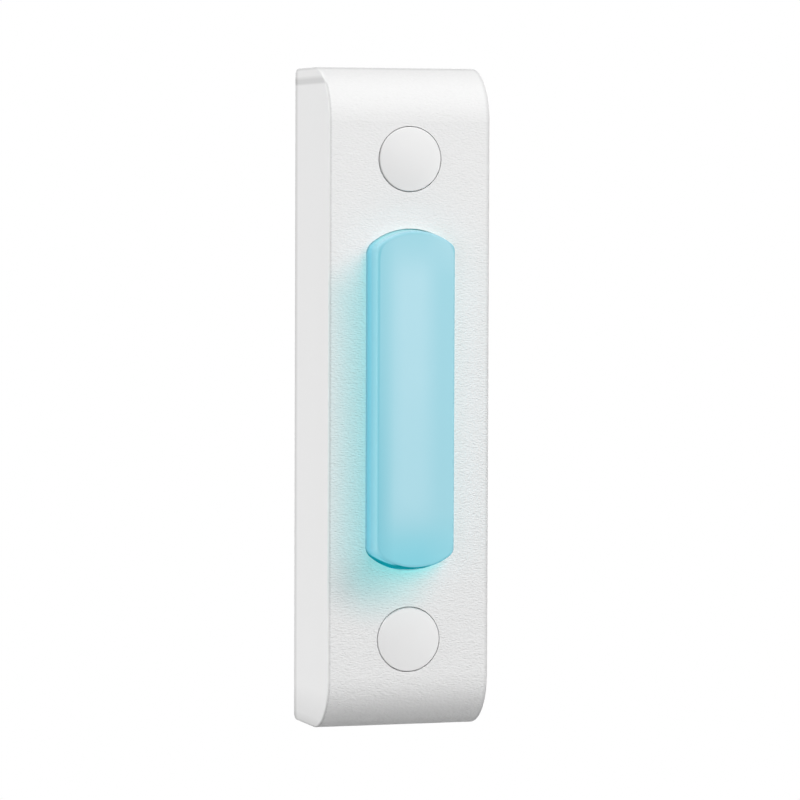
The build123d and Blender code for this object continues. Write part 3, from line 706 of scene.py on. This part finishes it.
give_finish(board, "circuit_board")

# %% [markdown]
# The metals differ in colour and in how they were worked. Contact strips are cut from rolled sheet, so
# their grain runs one way, and their rivets share the finish. Screws, terminals and the contact point are
# plated or pressed, with an even bloom, and the springs' wire is drawn. One function gives each its two
# tones and its grain, stretched along the sheet or even all round.

# %% Metal finishes
MARK_DEPTH = 0.01 * MM


def metal_finish(name, dark, light, stretch, grain, smoothest, roughest):
    metal, tree, shader, place = new_finish(name, Metallic=1.0)
    run = add_node(tree, "ShaderNodeMapping", {"Vector": place, "Scale": stretch})
    marks = add_node(tree, "ShaderNodeTexNoise", {"Vector": run, "Scale": 1 / grain, "Detail": 4.0})
    tone = add_node(tree, "ShaderNodeMix", {
        "Factor": marks.outputs["Fac"], "A": linear(dark), "B": linear(light)}, data_type="RGBA")
    tree.links.new(tone.outputs["Result"], shader.inputs["Base Color"])
    gloss = add_node(tree, "ShaderNodeMapRange", {
        "Value": marks.outputs["Fac"], "From Min": 0.3, "From Max": 0.7,
        "To Min": smoothest, "To Max": roughest})
    tree.links.new(gloss.outputs["Result"], shader.inputs["Roughness"])
    bump = add_node(tree, "ShaderNodeBump", {
        "Height": marks.outputs["Fac"], "Strength": 0.15, "Distance": MARK_DEPTH})
    tree.links.new(bump.outputs["Normal"], shader.inputs["Normal"])
    return metal


ALONG_Z, EVEN = (1, 1, 0.06), (1, 1, 1)
brass = metal_finish("brass_rolled", "#C49A4A", "#DDB96C", ALONG_Z, 0.15 * MM, 0.24, 0.36)
bronze = metal_finish("phosphor_bronze_rolled", "#B57D4C", "#D09A68", ALONG_Z, 0.15 * MM, 0.22, 0.34)
silver = metal_finish("silver_contact_alloy", "#D6D4CF", "#EAE8E3", EVEN, 0.20 * MM, 0.20, 0.30)
nickel = metal_finish("nickel_plated_steel", "#A9A7A1", "#C4C2BC", EVEN, 0.25 * MM, 0.34, 0.46)
spring_wire = metal_finish("spring_steel_drawn", "#8E9195", "#B4B7BA", EVEN, 0.12 * MM, 0.22, 0.36)
give_finish(brass, "fixed_contact", "contact_rivets")
give_finish(silver, "fixed_contact_point")
give_finish(nickel, "terminal_strip_upper", "terminal_strip_lower", "wire_clamp_upper", "wire_clamp_lower")
give_finish(nickel, "terminal_screws")

# %% [markdown]
# Each lamp on the board is a white plastic frame round a well of clear resin with yellow powder in it: the
# chip under it is blue, and the powder turns most of its light yellow, so that the two mix to white. It is
# lit, so the well glows.

# %% Lamp finish
LED_PLACE, LENS_RADIUS, LENS_EDGE = 14.0 * MM, 1.15 * MM, 0.08 * MM
POWDER_GRAIN = 0.2 * MM

lamp, tree, shader, place = new_finish(
    "led_white_frame_yellow_resin", IOR=1.50, Roughness=0.35, Emission_Strength=0.4)
spot = add_node(tree, "ShaderNodeSeparateXYZ", {"Vector": place})
endways = add_node(tree, "ShaderNodeMath", {0: spot.outputs["Z"]}, operation="ABSOLUTE")
endways = add_node(tree, "ShaderNodeMath", {0: endways, 1: LED_PLACE}, operation="SUBTRACT")
spoke = add_node(tree, "ShaderNodeCombineXYZ", {"X": spot.outputs["X"], "Y": endways})
spoke = add_node(tree, "ShaderNodeVectorMath", {0: spoke}, operation="LENGTH")
resin = add_node(tree, "ShaderNodeMapRange", {
    "Value": spoke, "From Min": LENS_RADIUS, "From Max": LENS_RADIUS - LENS_EDGE})
powder = add_node(tree, "ShaderNodeTexNoise", {"Vector": place, "Scale": 1 / POWDER_GRAIN, "Detail": 3.0})
resin_tone = add_node(tree, "ShaderNodeMix", {
    "Factor": powder.outputs["Fac"], "A": linear("#E3C544"), "B": linear("#F3DC72")}, data_type="RGBA")
frame_tone = add_node(tree, "ShaderNodeMix", {
    "Factor": powder.outputs["Fac"], "A": linear("#E4E4E0"), "B": linear("#EDEDEA")}, data_type="RGBA")
tone = add_node(tree, "ShaderNodeMix", {
    "Factor": resin, "A": frame_tone, "B": resin_tone}, data_type="RGBA")
tree.links.new(tone.outputs["Result"], shader.inputs["Base Color"])
lit = add_node(tree, "ShaderNodeMix", {
    "Factor": resin, "A": BLACK, "B": linear("#FFF3C4")}, data_type="RGBA")
tree.links.new(lit.outputs["Result"], shader.inputs["Emission Color"])
give_finish(lamp, "led_upper", "led_lower")

# %% [markdown]
# The resistor is a chip of dark glazed ceramic and the diode a block of black moulded resin. Both are
# soldered by their tinned ends, and the diode has a pale band at the end that the current leaves by.

# %% Chip finishes
TINNED_LENGTH, SPECKLE = 0.5 * MM, 0.2 * MM


def chip_finish(name, node, body_dark, body_light, band_from, band_to, band_colour):
    tin_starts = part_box(node)[1].z - TINNED_LENGTH
    chip, tree, shader, place = new_finish(name)
    spot = add_node(tree, "ShaderNodeSeparateXYZ", {"Vector": place})
    endways = add_node(tree, "ShaderNodeMath", {0: spot.outputs["Z"]}, operation="ABSOLUTE")
    tinned = add_node(tree, "ShaderNodeMath", {0: endways, 1: tin_starts}, operation="GREATER_THAN")
    speckle = add_node(tree, "ShaderNodeTexNoise", {"Vector": place, "Scale": 1 / SPECKLE, "Detail": 3.0})
    body = add_node(tree, "ShaderNodeMix", {
        "Factor": speckle.outputs["Fac"], "A": linear(body_dark), "B": linear(body_light)},
        data_type="RGBA")
    band = add_node(tree, "ShaderNodeMath", {
        0: spot.outputs["Z"], 1: (band_from + band_to) / 2, 2: (band_to - band_from) / 2},
        operation="COMPARE")
    body = add_node(tree, "ShaderNodeMix", {
        "Factor": band, "A": body, "B": linear(band_colour)}, data_type="RGBA")
    tin = add_node(tree, "ShaderNodeMix", {
        "Factor": speckle.outputs["Fac"], "A": linear("#B8BABC"), "B": linear("#D4D6D8")}, data_type="RGBA")
    tone = add_node(tree, "ShaderNodeMix", {"Factor": tinned, "A": body, "B": tin}, data_type="RGBA")
    tree.links.new(tone.outputs["Result"], shader.inputs["Base Color"])
    tree.links.new(tinned.outputs[0], shader.inputs["Metallic"])
    gloss = add_node(tree, "ShaderNodeMapRange", {
        "Value": speckle.outputs["Fac"], "To Min": 0.28, "To Max": 0.44})
    tree.links.new(gloss.outputs["Result"], shader.inputs["Roughness"])
    give_finish(chip, node)


chip_finish(
    "ceramic_glazed_dark", "series_resistor", "#1D1F22", "#2A2C30", -0.9 * MM, 0.9 * MM, "#26282C")
chip_finish(
    "epoxy_black_moulded", "rectifier_diode", "#161616", "#222222", 0.45 * MM, 0.75 * MM, "#B9B9B5")

# %% [markdown]
# Each return spring is drawn steel wire, closed at both ends so that it stands square: one turn lies flat,
# four turns are open, and one more lies flat. A wire section is spun round the spring's axis and moved
# along it at each step, with less rise in the end turns than between them.

# %% New pieces in the scene
SHARP_EDGE = math.radians(40)


def new_piece(name, bm, material):
    mesh = bpy.data.meshes.new(name)
    bm.to_mesh(mesh)
    bm.free()
    mesh.shade_smooth()
    mesh.set_sharp_from_angle(angle=SHARP_EDGE)
    mesh.materials.append(material)
    piece = bpy.data.objects.new(name, mesh)
    scene.collection.objects.link(piece)
    print(name, len(mesh.polygons), "faces")
    return piece


print("edges sharper than", round(math.degrees(SHARP_EDGE)), "degrees stay sharp")

# %% Return springs
WIRE_RADIUS, COIL_RADIUS = 0.2 * MM, 1.8 * MM
SPRING_PLACE = 18.0 * MM
SPRING_BACK, SPRING_FRONT = -10.6 * MM, -17.6 * MM
STEPS_A_TURN, WIRE_SIDES = 28, 12
closed_rise = 2 * WIRE_RADIUS
open_turns = 4
open_rise = (SPRING_BACK - SPRING_FRONT - 2 * closed_rise - 2 * WIRE_RADIUS) / open_turns


def coil_spring(name, node, z):
    bm = bmesh.new()
    start = Matrix.Translation((COIL_RADIUS, SPRING_BACK - WIRE_RADIUS, z))
    bmesh.ops.create_circle(bm, radius=WIRE_RADIUS, segments=WIRE_SIDES, matrix=start)
    section = bm.verts[:] + bm.edges[:]
    for turns, rise in ((1, closed_rise), (open_turns, open_rise), (1, closed_rise)):
        steps = turns * STEPS_A_TURN
        spun = bmesh.ops.spin(
            bm, geom=section, cent=(0, 0, z), axis=(0, 1, 0), dvec=(0, -rise / STEPS_A_TURN, 0),
            angle=turns * math.tau, steps=steps, use_merge=False)
        section = [e for e in spun["geom_last"] if not isinstance(e, bmesh.types.BMFace)]
    bmesh.ops.holes_fill(bm, edges=bm.edges[:], sides=0)
    bmesh.ops.recalc_face_normals(bm, faces=bm.faces[:])
    spring = new_piece(name, bm, spring_wire)
    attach(spring, "housing")
    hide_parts(node)
    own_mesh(spring)


coil_spring("coil_spring_upper", "return_spring_upper", SPRING_PLACE)
coil_spring("coil_spring_lower", "return_spring_lower", -SPRING_PLACE)

# %% [markdown]
# The contact leaf is a strip of sprung bronze. Its foot is riveted to the board, it slopes up to the
# plunger, and a dimple under its tip meets the contact point. The foot and the arm each begin as a square
# loop bridged to a round one, for the rivet's hole and for the dimple.

# %% Contact leaf: sheet with a round in it
LEAF_WIDTH, LEAF_THICKNESS = 4.0 * MM, 0.25 * MM
SIDE_CUTS, ROUND_SIDES = 5, 24
facing = Matrix.Rotation(math.radians(90), 4, "X")


def sheet_with_round(bm, z_from, z_to, y, round_z, round_radius):
    middle_z = (z_from + z_to) / 2
    stretch = Matrix.Diagonal((LEAF_WIDTH, z_to - z_from, 1, 1))
    shape = Matrix.Translation((0, y, middle_z)) @ facing @ stretch
    square = bmesh.ops.create_grid(bm, x_segments=1, y_segments=1, size=0.5, matrix=shape)["verts"]
    outer = list({e for v in square for e in v.link_edges})
    bmesh.ops.delete(bm, geom=list({f for v in square for f in v.link_faces}), context="FACES_ONLY")
    cut = bmesh.ops.subdivide_edges(bm, edges=outer, cuts=SIDE_CUTS)["geom"]
    outer = list(set(outer) | {e for e in cut if isinstance(e, bmesh.types.BMEdge)})
    ring = bmesh.ops.create_circle(
        bm, radius=round_radius, segments=ROUND_SIDES,
        matrix=Matrix.Translation((0, y, round_z)) @ facing)["verts"]
    inner = list({e for v in ring for e in v.link_edges})
    bmesh.ops.bridge_loops(bm, edges=outer + inner)
    return inner


print("leaf", round(LEAF_WIDTH / MM, 2), "mm wide,", round(LEAF_THICKNESS / MM, 2), "mm thick")

# %% Contact leaf: its foot, its arm and the dimple
FOOT_FROM, FOOT_TO = -12.0 * MM, -8.6 * MM
ARM_FROM, ARM_TO = -2.2 * MM, 2.0 * MM
FOOT_DEPTH, ARM_DEPTH = -10.6 * MM, -13.2 * MM
RIVET_PLACE, RIVET_HOLE = -10.3 * MM, 0.85 * MM
DIMPLE_RADIUS, DIMPLE_DEPTH = 0.7 * MM, 0.3 * MM
DIMPLE_ROWS = ((0.72, 0.48), (0.40, 0.84), (0.12, 1.0))
BEND_ROOM = 0.6 * MM

bm = bmesh.new()
sheet_with_round(bm, FOOT_FROM, FOOT_TO - BEND_ROOM, FOOT_DEPTH, RIVET_PLACE, RIVET_HOLE)
dimple = sheet_with_round(bm, ARM_FROM + BEND_ROOM, ARM_TO, ARM_DEPTH, 0.0, DIMPLE_RADIUS)
for share, drop in DIMPLE_ROWS:
    grown = bmesh.ops.extrude_edge_only(bm, edges=dimple)["geom"]
    dimple = [e for e in grown if isinstance(e, bmesh.types.BMEdge)]
    for vert in {v for e in dimple for v in e.verts}:
        spoke = Vector((vert.co.x, 0, vert.co.z)).normalized() * share * DIMPLE_RADIUS
        vert.co = spoke + Vector((0, ARM_DEPTH + drop * DIMPLE_DEPTH, 0))
bmesh.ops.edgeloop_fill(bm, edges=dimple)
print("faces of foot and arm:", len(bm.faces))

# %% [markdown]
# The foot's end is then drawn out row by row, round one bend, up the slope and round the other bend to the
# arm, and the sheet is given its thickness last, away from the board.

# %% Contact leaf: its slope and its thickness
BEND_REACH = 0.25 * MM
SLOPE_ROWS = 10
SAME_PLACE, MERGE_WITHIN = 1e-7, 0.001 * MM


def bend_points(corner, way_in, way_out):
    first, last = corner - way_in * BEND_REACH, corner + way_out * BEND_REACH
    return [first.lerp(corner, t).lerp(corner.lerp(last, t), t) for t in (0, 1 / 3, 2 / 3, 1)]


foot_bend, arm_bend = Vector((0, FOOT_DEPTH, FOOT_TO)), Vector((0, ARM_DEPTH, ARM_FROM))
straight, up_slope = Vector((0, 0, 1)), (arm_bend - foot_bend).normalized()
run = bend_points(foot_bend, straight, up_slope)
run += [foot_bend.lerp(arm_bend, step / SLOPE_ROWS) for step in range(1, SLOPE_ROWS)]
run += bend_points(arm_bend, up_slope, straight) + [arm_bend + straight * BEND_ROOM]
row = [e for e in bm.edges if all(abs(v.co.z - FOOT_TO + BEND_ROOM) < SAME_PLACE for v in e.verts)]
for point in run:
    grown = bmesh.ops.extrude_edge_only(bm, edges=row)["geom"]
    row = [e for e in grown if isinstance(e, bmesh.types.BMEdge)]
    for vert in {v for e in row for v in e.verts}:
        vert.co.yz = point.yz
bmesh.ops.remove_doubles(bm, verts=bm.verts[:], dist=MERGE_WITHIN)
bmesh.ops.recalc_face_normals(bm, faces=bm.faces[:])
if sum(f.normal.y * f.calc_area() for f in bm.faces) < 0:
    bmesh.ops.reverse_faces(bm, faces=bm.faces[:])
bmesh.ops.solidify(bm, geom=bm.faces[:], thickness=LEAF_THICKNESS)
leaf_low = [round(min(v.co[i] for v in bm.verts) / MM, 2) for i in range(3)]
leaf_high = [round(max(v.co[i] for v in bm.verts) / MM, 2) for i in range(3)]
leaf_volume = bm.calc_volume(signed=True) / MM ** 3
print("leaf from", leaf_low, "to", leaf_high, "mm,", round(leaf_volume, 2), "mm3")

# %% [markdown]
# The leaf becomes a piece of the scene in its bronze finish, set in place, and the CAD model's own leaf is
# hidden.

# %% Contact leaf: its place
leaf = new_piece("contact_leaf", bm, bronze)
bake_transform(leaf)
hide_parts("moving_contact_leaf")
